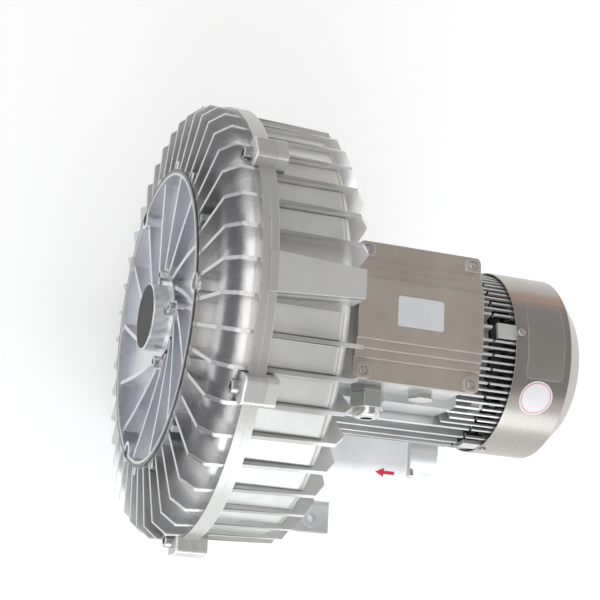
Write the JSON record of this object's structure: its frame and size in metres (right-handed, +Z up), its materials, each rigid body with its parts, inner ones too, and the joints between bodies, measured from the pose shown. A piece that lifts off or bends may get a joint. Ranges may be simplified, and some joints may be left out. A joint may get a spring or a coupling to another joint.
{
  "type": "side channel blower",
  "caption": "Side channel blower: round finned cast housing with a swirl-vaned front dish, flanged motor with terminal box and fan cowl, silencer ducts and foot brackets.",
  "frame": {"origin": "centre of the four foot bolt holes, on the plane that the feet stand on", "axes": "+Z up, +Y from the impeller housing towards the motor's fan cowl, along the shaft, +X towards the cable gland side"},
  "size_m": [0.5324, 0.5119, 0.516],
  "materials": {
    "bearing_steel": "ground",
    "board_plastic": "moulded",
    "cap_machined": "turned rim, dull front disc",
    "casing_casting": "as cast, satin",
    "core_iron": "laminated",
    "cover_casting": "as cast, cooler grey, fine sand grain on the joint flange",
    "cowl_steel": "brushed round the axis",
    "duct_casting": "as cast, pale satin",
    "fan_plastic": "moulded",
    "foot_casting": "as cast, satin",
    "gland_nickel": "nickel plated, satin",
    "impeller_casting": "die cast and turned",
    "lid_casting": "die cast, satin warm grey",
    "motor_casting": "die cast, satin",
    "rotor_aluminium": "die cast",
    "seal_rubber": "matte black",
    "shaft_steel": "turned",
    "steel_screws": "zinc plated",
    "stub_casting": "pale satin",
    "stud_brass": "threaded",
    "winding_copper": "varnished"
  },
  "bodies": {
    "housing": {"bearing_cap": "cap_machined", "bearing_cap_screws": "steel_screws", "blanking_plug": "gland_nickel", "cable_gland_body": "gland_nickel", "cable_gland_nut": "gland_nickel", "cowl_screws": "steel_screws", "end_shield": "motor_casting", "end_shield_screws": "steel_screws", "fan_cowl": "cowl_steel", "foot_left": "foot_casting", "foot_right": "foot_casting", "foot_screws_left": "steel_screws", "foot_screws_right": "steel_screws", "front_bearing_cage": "bearing_steel", "front_bearing_outer": "bearing_steel", "front_cover": "cover_casting", "inlet_hose_stub": "stub_casting", "inlet_silencer": "duct_casting", "inlet_tie_bolts": "steel_screws", "lid_gasket": "seal_rubber", "lid_screws": "steel_screws", "motor_flange_screws": "steel_screws", "motor_frame": "motor_casting", "outlet_hose_stub": "stub_casting", "outlet_silencer": "duct_casting", "outlet_tie_bolts": "steel_screws", "rear_bearing_cage": "bearing_steel", "rear_bearing_outer": "bearing_steel", "rear_casing": "casing_casting", "rim_screws": "steel_screws", "ring_screws": "steel_screws", "shaft_seal": "seal_rubber", "stator_core": "core_iron", "terminal_board": "board_plastic", "terminal_box": "motor_casting", "terminal_lid": "lid_casting", "terminal_studs": "stud_brass", "winding_front": "winding_copper", "winding_rear": "winding_copper"},
    "rotor": {"shaft": "shaft_steel", "impeller": "impeller_casting", "impeller_key": "shaft_steel", "impeller_spacer": "shaft_steel", "shaft_nut": "shaft_steel", "rotor_core": "core_iron", "rotor_end_rings": "rotor_aluminium", "front_bearing_inner": "bearing_steel", "rear_bearing_inner": "bearing_steel", "cooling_fan": "fan_plastic", "fan_circlip": "shaft_steel"}
  },
  "joints": [
    {"name": "rotor_spin", "type": "hinge", "parent": "housing", "child": "rotor", "pos_m": [0, 0, 0.265], "axis": [0, 1, 0], "continuous": true}
  ]
}
